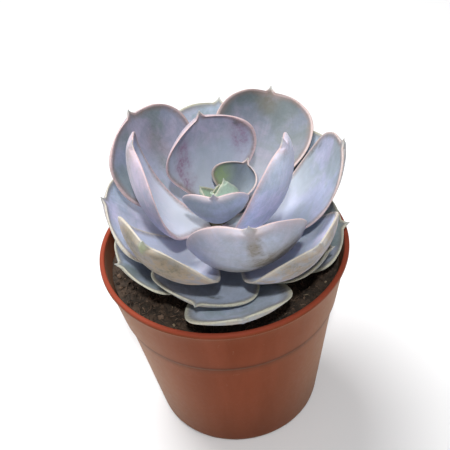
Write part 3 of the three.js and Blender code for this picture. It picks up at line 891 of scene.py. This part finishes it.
def leaf_material(name, settings, number, bloom, look, margin_share):
    """One leaf's waxy skin, with its own bloom, wear, margin and underside, a tone of each face that is
    partly painted light and shade, and a pale foot that is partly painted light.
    """
    flush, wear, under, pink, upper_tone_and_painted_light, lower_tone_and_painted_light, pale_foot_and_painted_light = look
    material, make, shader, position = new_material(name)
    along, across, upper = (make.field(field) for field in ("along", "across", "upper"))
    ribs, run = make.times(across, LINES_ACROSS), make.times(along, LINES_ALONG)
    lengthwise = make.add("CombineXYZ", X=ribs, Y=run, Z=LINES_STEP * number)[0]
    skin = make.shared(
        "Waxy bloom", Position=position, Lengthwise=lengthwise, Bloom=bloom, Lilac=settings.lilac,
        Green=settings.green, Flush=flush, Wear=wear,
    )
    belly = make.ramp(make.noise(position, BELLY_MOTTLE, 6, 0.75), 0.43, 0.57, under * 0.1, under)
    # The tone of each face is partly its own and partly painted light and shade; the pale foot is partly
    # thick bloom and partly painted light.
    colour = make.layered(
        make.dimmed(skin["Colour"], make.ramp(upper, 0.0, 1.0, lower_tone_and_painted_light, upper_tone_and_painted_light)),
        (make.times(make.ramp(along, 0.12, 0.85, pale_foot_and_painted_light, 0.0), upper), settings.foot),
        (make.times(make.math("SUBTRACT", 1.0, upper), belly), settings.under),
    )
    marks = {kind.capitalize(): make.field(kind) for kind in MARK_KINDS}
    marked = make.shared("Leaf marks", Position=position, Colour=colour, **marks)["Colour"]
    margin = between(settings.cream, settings.pink, pink)
    blush = between(settings.dull, margin, 0.7 * pink)
    rust = between(settings.dull, settings.rust, 0.8 * pink)
    rim = make.shared(
        "Leaf margin", Position=position, Edge=make.field("edge"), Upper=upper, Colour=marked,
        Band=make.mix(make.ramp(along, 0.94, 0.985), margin, settings.tip), Line=make.mix(upper, blush, rust),
        Width=settings.margin_width * margin_share, Depth=0.75,
    )
    rough = make.ramp(skin["Grain"], 0.2, 0.8, 0.56, 0.68)
    for smooth, share in ((rim["Band"], 0.12), (skin["Thin"], 0.10)):
        rough = make.math("SUBTRACT", rough, make.times(smooth, share), clamp=True)
    height = make.math("ADD", make.times(skin["Grain"], 0.25), make.noise(position, DENTS, 3, 0.5))
    make.fill(
        shader, Base_Color=rim["Colour"], Roughness=rough, Specular_IOR_Level=0.35, Subsurface_Weight=0.2,
        Subsurface_Radius=(1.0, 0.75, 0.6), Subsurface_Scale=0.0016, Sheen_Weight=0.12, Sheen_Roughness=0.5,
        Normal=make.bump(height, 0.3, 0.0002),
    )
    return material


def plastic_material(settings):
    """Moulded plastic: dull, faintly streaked and dusty, with a painted pale reflection where it is seen at a
    slant, painted shade under the collar and towards the foot, and brighter at the thin lip.
    """
    material, make, shader, position = new_material("pot_plastic")
    streaks = make.add("Mapping", Vector=position, Scale=(1.0, 1.0, 0.12))[0]
    flow = make.noise(streaks, STREAKS, 4, 0.6)
    dust = make.noise(position, DUST, 6, 0.7)
    # Where the wall is seen at a slant it is painted paler beige, a painted reflection of the pale
    # surroundings.
    slant = make.add("LayerWeight", Blend=0.5)["Facing"]
    colour = make.layered(
        settings.plastic,
        (make.ramp(flow, 0.3, 0.75, 0.0, 0.55), tuple(min(1, 1.35 * c + 0.012) for c in settings.plastic)),
        (make.times(make.ramp(dust, 0.58, 0.8), 0.28), DUST_BEIGE),
        (make.ramp(slant, 0.45, 0.95, 0.0, 0.8), PAINTED_SHEEN_BEIGE),
        (make.times(make.field("shade"), 0.9), SHADE_BROWN),
        (make.field("lip"), settings.lip),
    )
    height = make.math("ADD", make.noise(position, PLASTIC_GRAIN, 3, 0.6), make.times(flow, 1.2))
    make.fill(
        shader, Base_Color=colour, Specular_IOR_Level=0.06, Subsurface_Weight=0.08,
        Subsurface_Radius=(1.0, 0.35, 0.2), Subsurface_Scale=0.0012,
        Roughness=make.ramp(dust, 0.25, 0.75, settings.roughness - 0.06, settings.roughness + 0.1),
        Normal=make.bump(height, 0.12, 0.00012),
    )
    return material


def peat_material(name, wet, dry, lightest=0.5):
    """Peat: near black where wet, brown where dry, with coarse crumb."""
    material, make, shader, position = new_material(name)
    clods = make.noise(position, CLODS, 5, 0.65)
    crumb = make.noise(position, CRUMB, 6, 0.75)
    colour = make.layered(
        wet, (make.ramp(clods, 0.42, 0.68, 0.0, lightest), dry), (make.ramp(crumb, 0.5, 0.7, 0.0, 0.7), dry)
    )
    make.fill(
        shader, Base_Color=colour, Roughness=make.ramp(crumb, 0.2, 0.8, 0.95, 0.72), Specular_IOR_Level=0.3,
        Normal=make.bump(crumb, 0.8, 0.0006),
    )
    return material


def fibre_material(name, colour, darker):
    """Straw, bark and grit: one colour that darkens in patches, with a fine grain."""
    material, make, shader, position = new_material(name)
    patches = make.noise(position, FIBRE_PATCHES, 4, 0.6)
    grain = make.noise(position, FIBRE_GRAIN, 3, 0.6)
    make.fill(
        shader, Base_Color=make.mix(make.ramp(patches, 0.35, 0.65), colour, darker),
        Roughness=make.ramp(grain, 0.2, 0.8, 0.7, 0.92), Normal=make.bump(grain, 0.5, 0.0002),
    )
    return material


# Pot

def pot_outer_radius(z):
    body_top = COLLAR_FOOT_RADIUS - STEP_DEPTH
    if z < COLLAR_FOOT_Z:
        return mix(BODY_FOOT_RADIUS, body_top, z / COLLAR_FOOT_Z)
    collar_top = POT_HEIGHT - LIP_HEIGHT
    return mix(COLLAR_FOOT_RADIUS, COLLAR_TOP_RADIUS, (z - COLLAR_FOOT_Z) / (collar_top - COLLAR_FOOT_Z))


def pot_profile():
    collar_top = POT_HEIGHT - LIP_HEIGHT
    body_top = COLLAR_FOOT_RADIUS - STEP_DEPTH
    foot = BODY_FOOT_RADIUS - BOTTOM_ROUNDING
    floor_top = FLOOR_LIFT + FLOOR_THICKNESS
    under = [
        (0, 0),
        (CENTRE_PAD_RADIUS, 0),
        (CENTRE_PAD_RADIUS + 1, FLOOR_LIFT),
        (foot - FOOT_RING_WIDTH, FLOOR_LIFT),
        (foot - FOOT_RING_WIDTH + 0.8, 0),
    ]
    outside = [
        (foot, 0),
        (BODY_FOOT_RADIUS - BOTTOM_ROUNDING * 0.4, BOTTOM_ROUNDING * 0.15),
        (pot_outer_radius(BOTTOM_ROUNDING) - 0.3, BOTTOM_ROUNDING * 0.6),
        (pot_outer_radius(BOTTOM_ROUNDING * 1.6), BOTTOM_ROUNDING * 1.6),
        (body_top, COLLAR_FOOT_Z - 1.2),
        (COLLAR_FOOT_RADIUS - 0.3, COLLAR_FOOT_Z - 0.2),
        (COLLAR_FOOT_RADIUS, COLLAR_FOOT_Z + 0.6),
        (COLLAR_TOP_RADIUS, collar_top - 0.3),
        (LIP_RADIUS - 0.35, collar_top),
        (LIP_RADIUS, collar_top + 0.5),
        (LIP_RADIUS, POT_HEIGHT - 0.7),
        (LIP_RADIUS - 0.4, POT_HEIGHT - 0.15),
        (LIP_RADIUS - LIP_WIDTH / 2, POT_HEIGHT),
        (LIP_RADIUS - LIP_WIDTH + 0.3, POT_HEIGHT - 0.2),
        (LIP_RADIUS - LIP_WIDTH, POT_HEIGHT - 0.8),
    ]
    inside = [
        (COLLAR_TOP_RADIUS - POT_WALL - 0.3, collar_top - 0.6),
        (COLLAR_FOOT_RADIUS - POT_WALL, COLLAR_FOOT_Z + 0.8),
        (body_top - POT_WALL, COLLAR_FOOT_Z - 0.8),
        (BODY_FOOT_RADIUS - POT_WALL + 0.6, floor_top + 2.2),
        (BODY_FOOT_RADIUS - POT_WALL - 1.6, floor_top),
        (0, floor_top),
    ]
    return under + outside + inside


class MakePot(bpy.types.Operator):
    """Make the moulded pot with its rolled lip, collar and drain holes"""

    bl_idname = "echeveria.make_pot"
    bl_label = "Pot"

    def execute(self, context):
        settings = context.scene.echeveria_pot
        plastic = plastic_material(settings)
        pot = make_object("nursery_pot", *turned(eased(pot_profile()), settings.sides), plastic, "pot")
        drill = [(0, DRILL_FROM), (DRAIN_RADIUS, DRILL_FROM), (DRAIN_RADIUS, DRILL_TO), (0, DRILL_TO)]
        points, faces = turned(drill, DRAIN_SIDES)
        drills = [], []
        for i in range(DRAIN_COUNT):
            azimuth = 2 * math.pi * (i + 0.5) / DRAIN_COUNT
            at = np.array([math.cos(azimuth), math.sin(azimuth), 0]) * DRAIN_CIRCLE_RADIUS
            add_to(drills, np.array(points) + at, faces)
        combine(pot, make_object("drills", *drills, plastic, "pot"), "DIFFERENCE", "EXACT")
        self.mark_lip_and_shade(pot.data)
        pot.data.set_sharp_from_angle(angle=math.radians(SHARP_EDGE))
        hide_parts("pot")
        return {"FINISHED"}

    def mark_lip_and_shade(self, mesh):
        """Marks the lip, and the shade under the collar and towards the foot."""
        at = np.zeros(len(mesh.vertices) * 3, np.float32)
        mesh.vertices.foreach_get("co", at)
        z = at[2::3] / MM
        lip = smoothstep(POT_HEIGHT - 0.5 * LIP_HEIGHT, POT_HEIGHT - 0.1 * LIP_HEIGHT, z)
        step = np.exp(-(((z - COLLAR_FOOT_Z + 0.4) / SHADE_BELOW_COLLAR) ** 2))
        foot = 0.4 * smoothstep(SHADE_FROM_FOOT, 0, z)
        set_fields(mesh, {"lip": lip, "shade": clamp01(step + foot)})


# Soil

def soil_height(x, y):
    """A low crown at the stem, with clods and hollows."""
    crown = SOIL_CROWN * np.exp(-((np.hypot(x, y) / 22) ** 2))
    clods = np.sin(x * 0.31 + 1.3) * np.cos(y * 0.27 - 0.6)
    clods = clods + 0.6 * np.sin(x * 0.73 - y * 0.58 + 0.4) + 0.4 * np.cos(x * 0.21 + y * 0.94)
    return SOIL_TOP_Z + crown + SOIL_ROUGHNESS * clods


def crumbly_height(x, y):
    """Soil height with the crumb of the peat on it."""
    crumb = noise.fractal(Vector((x * 0.35, y * 0.35, 3.1)), 0.8, 2.1, 5)
    lumps = abs(noise.noise(Vector((x * 0.9, y * 0.9, 8.7))))
    return float(soil_height(x, y)) + 0.55 * crumb + 0.7 * lumps - 0.25


def soil_wall(z):
    """Radius of the soil at a height, a little inside the pot's wall."""
    return pot_outer_radius(z) - POT_WALL - SOIL_GAP


def soil_top_radius():
    return soil_wall(SOIL_TOP_Z - 2) - SOIL_TOP_INSET


class MakeSoil(bpy.types.Operator):
    """Make the peat that fills the pot, with its crumbly top and the hole that the stem stands in"""

    bl_idname = "echeveria.make_soil"
    bl_label = "Soil"

    def execute(self, context):
        settings = context.scene.echeveria_soil
        floor_top = FLOOR_LIFT + FLOOR_THICKNESS + SOIL_GAP
        hole_radius = STEM_RADIUS + STEM_HOLE_GAP
        hole_floor = STEM_FOOT_Z - SOIL_GAP
        top_radius = soil_top_radius()
        outside = [
            (0, floor_top),
            (BODY_FOOT_RADIUS - POT_WALL - 2.4, floor_top),
            (soil_wall(floor_top + 3) - 0.6, floor_top + 3),
            (soil_wall(COLLAR_FOOT_Z - 1), COLLAR_FOOT_Z - 1),
            (soil_wall(COLLAR_FOOT_Z + 2.5) - 0.2, COLLAR_FOOT_Z + 2.5),
            (top_radius - 0.3, SOIL_TOP_Z - 5),
        ]
        top = [(mix(top_radius, hole_radius, i / SOIL_RINGS), SOIL_TOP_Z) for i in range(SOIL_RINGS + 1)]
        hole = [(hole_radius, STEM_SHOULDER_Z - 8), (hole_radius, hole_floor), (0, hole_floor)]
        points, faces = turned(outside + top + hole, SOIL_SIDES)
        first = 1 + (len(outside) - 1) * SOIL_SIDES
        for k in range(first, first + len(top) * SOIL_SIDES):
            x, y, _ = points[k]
            points[k] = (x, y, crumbly_height(x, y))
        soil = make_object("peat", points, faces, peat_material("peat", settings.peat, settings.dry), "soil")
        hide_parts("soil")
        return {"FINISHED"}


def rock_template():
    """A rough ball of 42 points, for crumbs and grit."""
    mesh = bpy.data.meshes.new("ball")
    ball = bmesh.new()
    bmesh.ops.create_icosphere(ball, subdivisions=2, radius=1)
    ball.to_mesh(mesh)
    ball.free()
    points = np.array([v.co[:] for v in mesh.vertices])
    faces = [tuple(p.vertices) for p in mesh.polygons]
    bpy.data.meshes.remove(mesh)
    return points, faces


def scattered_place(draw, inner, outer):
    radius = math.sqrt(draw.uniform(inner**2, outer**2))
    azimuth = draw.uniform(0, 2 * math.pi)
    return radius * math.cos(azimuth), radius * math.sin(azimuth)


def turned_any_way(draw):
    axis = Vector((draw.gauss(0, 1), draw.gauss(0, 1), draw.gauss(0, 1))).normalized()
    return np.array(Matrix.Rotation(draw.uniform(0, 2 * math.pi), 3, axis))


def crumb_heap(draw, count, smallest, largest, flatness, template):
    """Points and faces of crumbs scattered over the soil."""
    ball, ball_faces = template
    heap = [], []
    for _ in range(count):
        x, y = scattered_place(draw, STEM_RADIUS + 3, soil_top_radius() - 1.2)
        size = smallest * (largest / smallest) ** (draw.random() ** 2.2)
        rough = 1 + 0.28 * np.array([draw.uniform(-1, 1) for _ in ball])[:, None]
        shape = ball * rough * (size * draw.uniform(0.7, 1.2), size, size * flatness) @ turned_any_way(draw).T
        add_to(heap, shape + (x, y, crumbly_height(x, y) + 0.25 * size), ball_faces)
    return heap


def fibre_strands(draw, count, thickest, longest, sides=4, steps=6):
    """Points and faces of short bent fibres that lie on the soil."""
    last = steps * sides
    ends = [tuple(range(sides)), tuple(range(last + sides - 1, last - 1, -1))]
    faces = skin_faces(steps + 1, sides) + ends
    limit = soil_top_radius() - 1
    heap = [], []
    for _ in range(count):
        x, y = scattered_place(draw, STEM_RADIUS + 4, soil_top_radius() - 3)
        length = longest * (0.25 + 0.75 * draw.random() ** 2)
        radius = thickest * draw.uniform(0.35, 1) / 2
        heading = draw.uniform(0, 2 * math.pi)
        bend = draw.uniform(-1.6, 1.6)
        lift = draw.uniform(0, 1.2)
        points = []
        for k in range(steps + 1):
            t = k / steps
            taper = radius * (0.35 + 0.65 * math.sin(math.pi * min(0.96, max(0.04, t))))
            angle = heading + bend * t
            x += math.cos(angle) * length / steps
            y += math.sin(angle) * length / steps
            reach = math.hypot(x, y)
            if reach > limit:
                x, y = x * limit / reach, y * limit / reach
            z = crumbly_height(x, y) + radius + lift * math.sin(math.pi * t)
            sideways = Vector((-math.sin(angle), math.cos(angle), 0))
            for i in range(sides):
                turn = 2 * math.pi * i / sides
                place = Vector((x, y, z)) + sideways * (taper * math.cos(turn))
                points.append((place.x, place.y, place.z + taper * math.sin(turn)))
        add_to(heap, points, faces)
    return heap


class MakeGrit(bpy.types.Operator):
    """Scatter peat crumbs, fibres, bark and pale grit over the soil"""

    bl_idname = "echeveria.make_grit"
    bl_label = "Crumbs and fibres"

    def execute(self, context):
        settings = context.scene.echeveria_soil
        draw = random.Random(settings.seed)
        template = rock_template()
        wet, dry = tuple(settings.peat), tuple(settings.dry)
        brown = tuple(1.5 * c for c in dry)
        crumbs = peat_material("peat_crumbs", wet, dry, 0.9)
        bark = fibre_material("bark", brown, dry)
        grit = fibre_material("pale_grit", settings.pale, brown)
        fibres = fibre_material("fibres", brown, wet)
        straw = fibre_material("straw", settings.pale, brown)
        heaps = (
            ("peat_crumbs", crumb_heap(draw, settings.crumbs, 0.30, 1.35, 0.75, template), crumbs),
            ("bark_bits", crumb_heap(draw, BARK_BITS, 0.5, 1.6, 0.35, template), bark),
            ("pale_grit", crumb_heap(draw, GRIT_BITS, 0.25, 0.75, 0.7, template), grit),
            ("peat_fibres", fibre_strands(draw, settings.fibres, 0.45, 9), fibres),
            ("straw_bits", fibre_strands(draw, STRAW_BITS, 0.55, 6), straw),
        )
        for name, heap, material in heaps:
            make_object(name, *heap, material, "soil", smooth=False)
        return {"FINISHED"}


# Plant

class MakeStem(bpy.types.Operator):
    """Make the short stem with the scars of the leaves that it has shed"""

    bl_idname = "echeveria.make_stem"
    bl_label = "Stem"

    def execute(self, context):
        profile = [(0, STEM_FOOT_Z), (STEM_RADIUS - 1.5, STEM_FOOT_Z)]
        for i in range(STEM_ROWS + 1):
            z = mix(STEM_FOOT_Z + 1.5, STEM_TOP_Z, i / STEM_ROWS)
            profile.append((float(stem_radius(z)), z))
        profile.append((0, STEM_TOP_Z))
        points, faces = turned(profile, STEM_SIDES)
        points = np.array(points)
        radius = np.hypot(points[:, 0], points[:, 1])
        azimuth = np.degrees(np.arctan2(points[:, 1], points[:, 0]))
        groove = np.zeros(len(points))
        for number in range(len(LEAVES), len(LEAVES) + STEM_SCARS):
            centre = FIRST_LEAF_AZIMUTH - GOLDEN_ANGLE * number
            z = FIRST_LEAF_Z - LEAF_PITCH * number
            off = (azimuth - centre + 180) % 360 - 180
            rise = points[:, 2] - z - SCAR_SAG * (off / 40) ** 2
            groove += np.exp(-((rise / SCAR_HEIGHT) ** 2)) * smoothstep(52, 34, np.abs(off))
        inward = np.where(radius > 2, 1 - SCAR_DEPTH * clamp01(groove) / np.maximum(radius, 1), 1)
        points[:, :2] *= inward[:, None]
        bark = fibre_material("stem_bark", STEM_BARK, STEM_DARK)
        stem = make_object("short_stem", points, faces, bark, "stem")
        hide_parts("stem")
        return {"FINISHED"}


class MakeLeaves(bpy.types.Operator):
    """Grow the large leaves of the rosette, each in its place on the spiral"""

    bl_idname = "echeveria.make_leaves"
    bl_label = "Leaves"

    def execute(self, context):
        settings = context.scene.echeveria_leaf
        draw = random.Random(BLOOM_SEED)
        for number, traits in enumerate(LEAVES):
            name = f"leaf_{number:02d}"
            leaf = leaf_on_spiral(traits, number)
            leaf["seat"] = seat_beside_stem(leaf)
            points, faces, fields = leaf_mesh(number, leaf, settings.undulation, number + LEAF_SEED)
            bloom = tuple(c * draw.uniform(0.96, 1.04) for c in settings.bloom)
            margin = min(1, leaf["length"] / GROWN_LENGTH) ** 0.5 * WIDER_MARGINS.get(number, 1)
            look = LOOKS.get(number, OLD_LOOK)
            skin = leaf_material(f"skin_{name}", settings, number, bloom, look, margin)
            slot = "old_leaf" if number in OLD_LEAVES else "leaf"
            piece = make_object(f"waxy_{name}", points, faces, skin, slot, fields)
            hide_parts(name)
        return {"FINISHED"}


class MakeHeart(bpy.types.Operator):
    """Grow the small green leaves at the heart of the rosette, joined round the growing point"""

    bl_idname = "echeveria.make_heart"
    bl_label = "Heart"

    def execute(self, context):
        settings = context.scene.echeveria_leaf
        skin = leaf_material("skin_heart", settings, HEART_NUMBER, settings.heart, HEART_LOOK, HEART_MARGIN)
        foot = STEM_TOP_Z + HEART_GAP

        def core_radius(z):
            return HEART_FOOT_RADIUS * math.sqrt(float(clamp01((HEART_TOP_Z - z) / (HEART_TOP_Z - foot))))

        heights = [mix(foot, HEART_TOP_Z, t) for t in np.linspace(0, 0.98, HEART_ROWS)]
        core = [(core_radius(z), z) for z in heights]
        points, faces = turned([(0, foot), *core, (0, HEART_TOP_Z)], HEART_SIDES)
        still = dict.fromkeys((*MARK_KINDS, "across"), 0.0) | {"edge": 4.0, "along": 0.5, "upper": 1.0}
        fields = {key: [value] * len(points) for key, value in still.items()}
        heart = make_object("rosette_heart", points, faces, skin, "heart", fields)
        for index, traits in enumerate(HEART_LEAVES):
            leaf = leaf_on_spiral(traits, -1 - index, HEART_OUTLINE)
            leaf["seat"] = core_radius(leaf["z"]) - HEART_LEAF_SINK
            points, faces, fields = leaf_mesh(None, leaf, 0, HEART_SEED + index)
            bud = make_object(f"bud_{index}", points, faces, skin, "heart", fields)
            combine(heart, bud, "UNION", "MANIFOLD")
        heart.data.polygons.foreach_set("use_smooth", [True] * len(heart.data.polygons))
        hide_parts("heart")
        return {"FINISHED"}


# Stage

def camera_matrix(settings):
    """Camera in front of the plant and above it, turned so that the plant's middle is at its pixel."""
    cosine, sine = math.cos(settings.elevation), math.sin(settings.elevation)
    back = Vector((0, -cosine, sine))
    level = Matrix(((1, 0, 0), (0, sine, cosine), tuple(back)))
    yaw = math.atan((PLANT_PIXEL[0] - IMAGE_SIZE / 2) / FOCAL_PIXELS)
    pitch = math.atan(-(PLANT_PIXEL[1] - IMAGE_SIZE / 2) / FOCAL_PIXELS * math.cos(yaw))
    turn = Matrix.Rotation(-yaw, 3, "Y") @ Matrix.Rotation(pitch, 3, "X")
    turn = turn @ Matrix.Rotation(settings.roll, 3, "Z") @ level
    return Matrix.Translation(PLANT_MIDDLE + back * settings.distance) @ turn.transposed().to_4x4()


def area_light(name, place, width, watts, colour):
    """A round light one metre from the middle of the plant, at an azimuth and elevation."""
    azimuth, elevation = (math.radians(angle) for angle in place)
    level = math.cos(elevation)
    away = Vector((level * math.cos(azimuth), level * math.sin(azimuth), math.sin(elevation)))
    light = bpy.data.lights.new(name, "AREA")
    light.shape = "DISK"
    light.size = width
    light.energy = watts
    light.color = colour
    lamp = link_object(name, light)
    lamp.location = PLANT_MIDDLE + away
    lamp.rotation_mode = "QUATERNION"
    lamp.rotation_quaternion = (-away).to_track_quat("-Z", "Y")


class MakeStage(bpy.types.Operator):
    """Set the pale floor, the soft lights and the camera"""

    bl_idname = "echeveria.make_stage"
    bl_label = "Stage"

    def execute(self, context):
        settings = context.scene.echeveria_stage
        material, make, shader, position = new_material("pale_floor")
        shade = make.ramp(make.noise(position, FLOOR_CLOUDS, 2, 0.5), 0.3, 0.7, 0.985, 1.0)
        make.fill(shader, Base_Color=make.dimmed(settings.floor, shade), Roughness=0.8)
        reach = FLOOR_REACH
        corners = [(-reach, -reach, 0), (reach, -reach, 0), (reach, reach, 0), (-reach, reach, 0)]
        mesh = bpy.data.meshes.new("floor")
        mesh.from_pydata(corners, [], [(0, 1, 2, 3)])
        mesh.materials.append(material)
        link_object("floor", mesh)

        world = bpy.data.worlds.new("white_surround")
        world.use_nodes = True
        sky = world.node_tree.nodes["Background"]
        sky.inputs["Color"].default_value = SURROUND_COLOUR
        sky.inputs["Strength"].default_value = settings.surround
        context.scene.world = world
        area_light("key", KEY_PLACE, KEY_WIDTH, settings.key, KEY_COLOUR)
        area_light("rim", BACK_PLACE, BACK_WIDTH, settings.rim, BACK_COLOUR)

        camera = link_object("camera", bpy.data.cameras.new("camera"))
        camera.data.sensor_fit = "HORIZONTAL"
        camera.data.sensor_width = SENSOR_WIDTH
        camera.data.lens = FOCAL_PIXELS / IMAGE_SIZE * SENSOR_WIDTH
        camera.data.clip_start = 0.01
        camera.data.clip_end = 20
        camera.matrix_world = camera_matrix(settings)
        context.scene.camera = camera
        context.scene.view_settings.view_transform = "Standard"
        return {"FINISHED"}


class EcheveriaPanel(bpy.types.Panel):
    """Buttons and settings for each piece of the plant"""

    bl_idname = "VIEW3D_PT_echeveria"
    bl_label = "Potted ghost echeveria"
    bl_space_type = "VIEW_3D"
    bl_region_type = "UI"
    bl_category = "Echeveria"

    def draw(self, context):
        scene = context.scene
        for operator in OPERATORS:
            self.layout.operator(operator.bl_idname)
        for name in SETTINGS:
            box = self.layout.box()
            group = getattr(scene, name)
            box.label(text=name.replace("echeveria_", "").capitalize())
            for key in group.bl_rna.properties.keys():
                if key not in ("rna_type", "name"):
                    box.prop(group, key)


SETTINGS = {
    "echeveria_pot": PotSettings,
    "echeveria_soil": SoilSettings,
    "echeveria_leaf": LeafSettings,
    "echeveria_stage": StageSettings,
}
OPERATORS = (MakePot, MakeSoil, MakeGrit, MakeStem, MakeLeaves, MakeHeart, MakeStage)


def register():
    for group in (*SETTINGS.values(), *OPERATORS, EcheveriaPanel):
        bpy.utils.register_class(group)
    for name, group in SETTINGS.items():
        setattr(bpy.types.Scene, name, bpy.props.PointerProperty(type=group))


def unregister():
    for name in SETTINGS:
        delattr(bpy.types.Scene, name)
    for group in (EcheveriaPanel, *OPERATORS, *SETTINGS.values()):
        bpy.utils.unregister_class(group)


def main():
    register()
    bpy.ops.echeveria.make_pot()
    bpy.ops.echeveria.make_soil()
    bpy.ops.echeveria.make_grit()
    bpy.ops.echeveria.make_stem()
    bpy.ops.echeveria.make_leaves()
    bpy.ops.echeveria.make_heart()
    bpy.ops.echeveria.make_stage()


if __name__ == "__main__":
    main()
